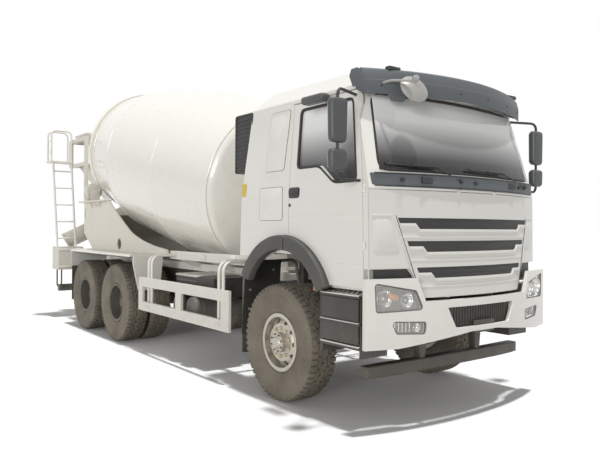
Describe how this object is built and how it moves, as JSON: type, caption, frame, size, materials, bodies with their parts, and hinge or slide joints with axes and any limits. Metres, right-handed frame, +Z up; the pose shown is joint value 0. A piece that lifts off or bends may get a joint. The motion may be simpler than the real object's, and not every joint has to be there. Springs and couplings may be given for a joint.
{
  "type": "concrete mixer truck",
  "caption": "Three-axle concrete mixer truck with a tilting cab, steered front wheels, turning drum on rollers, filling hopper and swinging chute.",
  "frame": {"origin": "on the road, under the middle of the overall box", "axes": "+X forward, +Y to the left, +Z up"},
  "size_m": [9.3856, 2.96, 4.0172],
  "materials": {
    "frame_steel": "dark grey satin paint",
    "dark_iron": "dark cast iron",
    "white_steel": "warm white gloss paint",
    "drum_paint": "cream white gloss paint",
    "cab_paint": "warm white gloss paint",
    "grey_plastic": "dark grey grained",
    "black_plastic": "black grained",
    "tank_metal": "brushed",
    "black_steel": "black satin paint",
    "lamp": "clear lamp cover over a bright reflector",
    "clear_glass": "clear",
    "seat_cloth": "grey cloth",
    "rubber_tyre": "dusty black rubber",
    "silver_rim": "silver paint",
    "grey_rim": "grey paint"
  },
  "bodies": {
    "chassis": {"frame_rails": "frame_steel", "subframe": "white_steel", "front_axle": "frame_steel", "springs": "frame_steel", "rear_axles": "frame_steel", "prop_shafts": "frame_steel", "engine_block": "dark_iron", "fuel_tank": "tank_metal", "battery_box": "black_steel", "air_tanks": "black_steel", "side_guards": "white_steel", "front_bumper": "cab_paint", "head_lamps": "lamp", "underrun_bar": "black_steel", "front_mudguards": "black_plastic", "cab_steps": "grey_plastic", "rear_fenders": "white_steel", "drum_pedestal": "white_steel", "front_support": "frame_steel", "reducer": "dark_iron", "hopper": "white_steel", "ladder": "white_steel", "tail_boxes": "black_steel", "rear_bar": "black_steel", "chute_stand": "white_steel"},
    "cab": {"cab_shell": "cab_paint", "windscreen": "clear_glass", "cab_flares": "grey_plastic", "sun_visor": "grey_plastic", "cowl": "grey_plastic", "dash": "black_plastic", "seats": "seat_cloth", "air_intake": "grey_plastic"},
    "front_lid": {"front_lid": "cab_paint", "grille": "black_plastic"},
    "door_l": {"door_l": "cab_paint", "door_glass_l": "clear_glass", "mirrors_l": "grey_plastic"},
    "knuckle_l": {"knuckle_l": "frame_steel"},
    "front_wheel_l": {"front_tyre_l": "rubber_tyre", "front_rim_l": "silver_rim"},
    "mid_wheels_l": {"mid_tyres_l": "rubber_tyre", "mid_rims_l": "grey_rim"},
    "rear_wheels_l": {"rear_tyres_l": "rubber_tyre", "rear_rims_l": "grey_rim"},
    "roller_l": {"roller_l": "dark_iron"},
    "door_r": {"door_r": "cab_paint", "door_glass_r": "clear_glass", "mirrors_r": "grey_plastic"},
    "knuckle_r": {"knuckle_r": "frame_steel"},
    "front_wheel_r": {"front_tyre_r": "rubber_tyre", "front_rim_r": "silver_rim"},
    "mid_wheels_r": {"mid_tyres_r": "rubber_tyre", "mid_rims_r": "grey_rim"},
    "rear_wheels_r": {"rear_tyres_r": "rubber_tyre", "rear_rims_r": "grey_rim"},
    "roller_r": {"roller_r": "dark_iron"},
    "drum": {"drum": "drum_paint"},
    "chute_post": {"chute_post": "white_steel"},
    "chute": {"chute": "white_steel"}
  },
  "joints": [
    {"name": "cab_tilt", "type": "hinge", "parent": "chassis", "child": "cab", "pos_m": [4.5229, 0, 1.11], "axis": [0, 1, 0], "range_deg": [0, 45]},
    {"name": "lid_open", "type": "hinge", "parent": "cab", "child": "front_lid", "pos_m": [4.6039, 0, 1.993], "axis": [0, -1, 0], "range_deg": [0, 60]},
    {"name": "door_r_swing", "type": "hinge", "parent": "cab", "child": "door_r", "pos_m": [4.3779, -1.165, 1.9], "axis": [0, 0, 1], "range_deg": [0, 70]},
    {"name": "door_l_swing", "type": "hinge", "parent": "cab", "child": "door_l", "pos_m": [4.3779, 1.165, 1.9], "axis": [0, 0, -1], "range_deg": [0, 70]},
    {"name": "steer_l", "type": "hinge", "parent": "chassis", "child": "knuckle_l", "pos_m": [3.1529, 0.88, 0.5625], "axis": [0, 0, 1], "range_deg": [-36, 36]},
    {"name": "steer_r", "type": "hinge", "parent": "chassis", "child": "knuckle_r", "pos_m": [3.1529, -0.88, 0.5625], "axis": [0, 0, 1], "range_deg": [-36, 36]},
    {"name": "front_wheel_l_spin", "type": "hinge", "parent": "knuckle_l", "child": "front_wheel_l", "pos_m": [3.1529, 1.011, 0.5625], "axis": [0, 1, 0], "continuous": true},
    {"name": "front_wheel_r_spin", "type": "hinge", "parent": "knuckle_r", "child": "front_wheel_r", "pos_m": [3.1529, -1.011, 0.5625], "axis": [0, 1, 0], "continuous": true},
    {"name": "mid_wheels_l_spin", "type": "hinge", "parent": "chassis", "child": "mid_wheels_l", "pos_m": [-0.8721, 0.915, 0.5625], "axis": [0, 1, 0], "continuous": true},
    {"name": "mid_wheels_r_spin", "type": "hinge", "parent": "chassis", "child": "mid_wheels_r", "pos_m": [-0.8721, -0.915, 0.5625], "axis": [0, 1, 0], "continuous": true},
    {"name": "rear_wheels_l_spin", "type": "hinge", "parent": "chassis", "child": "rear_wheels_l", "pos_m": [-2.2221, 0.915, 0.5625], "axis": [0, 1, 0], "continuous": true},
    {"name": "rear_wheels_r_spin", "type": "hinge", "parent": "chassis", "child": "rear_wheels_r", "pos_m": [-2.2221, -0.915, 0.5625], "axis": [0, 1, 0], "continuous": true},
    {"name": "drum_spin", "type": "hinge", "parent": "chassis", "child": "drum", "pos_m": [-0.58691, 0, 2.58842], "axis": [-0.9799, 0, 0.1994], "continuous": true},
    {"name": "roller_l_spin", "type": "hinge", "parent": "chassis", "child": "roller_l", "pos_m": [-2.69067, 0.92386, 2.27984], "axis": [-0.9799, 0, 0.1994], "continuous": true},
    {"name": "roller_r_spin", "type": "hinge", "parent": "chassis", "child": "roller_r", "pos_m": [-2.69067, -0.92386, 2.27984], "axis": [-0.9799, 0, 0.1994], "continuous": true},
    {"name": "chute_swing", "type": "hinge", "parent": "chassis", "child": "chute_post", "pos_m": [-3.9671, 0, 1.3], "axis": [0, 0, -1], "range_deg": [0, 126]},
    {"name": "chute_tilt", "type": "hinge", "parent": "chute_post", "child": "chute", "pos_m": [-3.9671, 0, 1.64], "axis": [0.8942, -0.4478, 0], "range_deg": [-22, 8]}
  ],
  "couplings": [
    {"joint": "steer_r", "follows": "steer_l", "ratio": 1},
    {"joint": "roller_l_spin", "follows": "drum_spin", "ratio": -8.0154},
    {"joint": "roller_r_spin", "follows": "drum_spin", "ratio": -8.0154}
  ]
}
